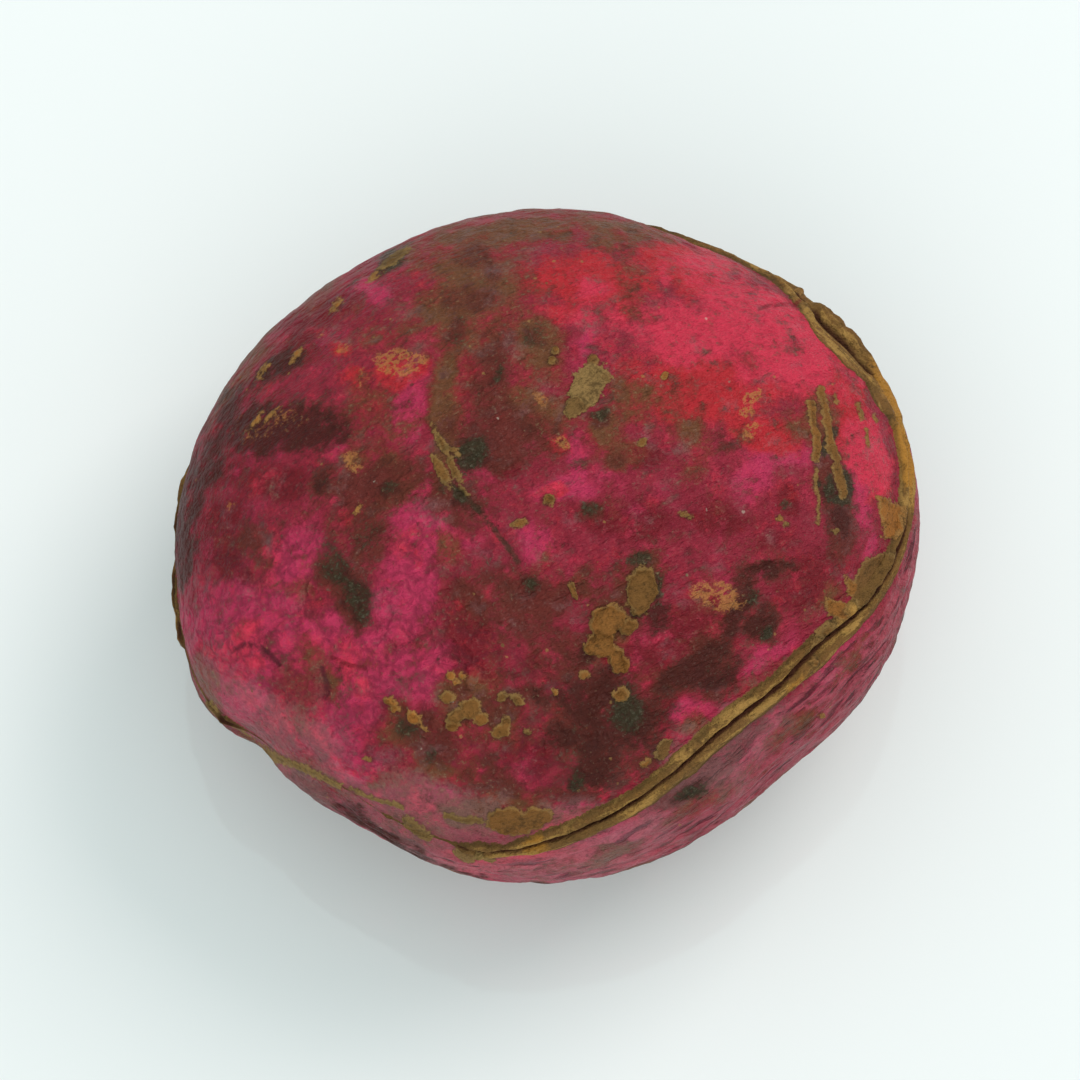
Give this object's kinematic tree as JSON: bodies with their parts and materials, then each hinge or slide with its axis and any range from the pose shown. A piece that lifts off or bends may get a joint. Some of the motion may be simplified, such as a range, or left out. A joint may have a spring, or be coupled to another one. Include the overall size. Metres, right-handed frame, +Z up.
{
  "type": "kola nut",
  "caption": "Whole kola nut, a flattened round seed lying on its side, with a ridged seam all round it.",
  "frame": {"origin": "on the surface that the nut rests on, under the middle of its box", "axes": "+X along the nut's length, +Y across its width, +Z up through its thickness"},
  "size_m": [0.037, 0.0332, 0.0196],
  "materials": {
    "kola_skin": "satin"
  },
  "bodies": {
    "root": {"kola_nut": "kola_skin"}
  },
  "joints": []
}
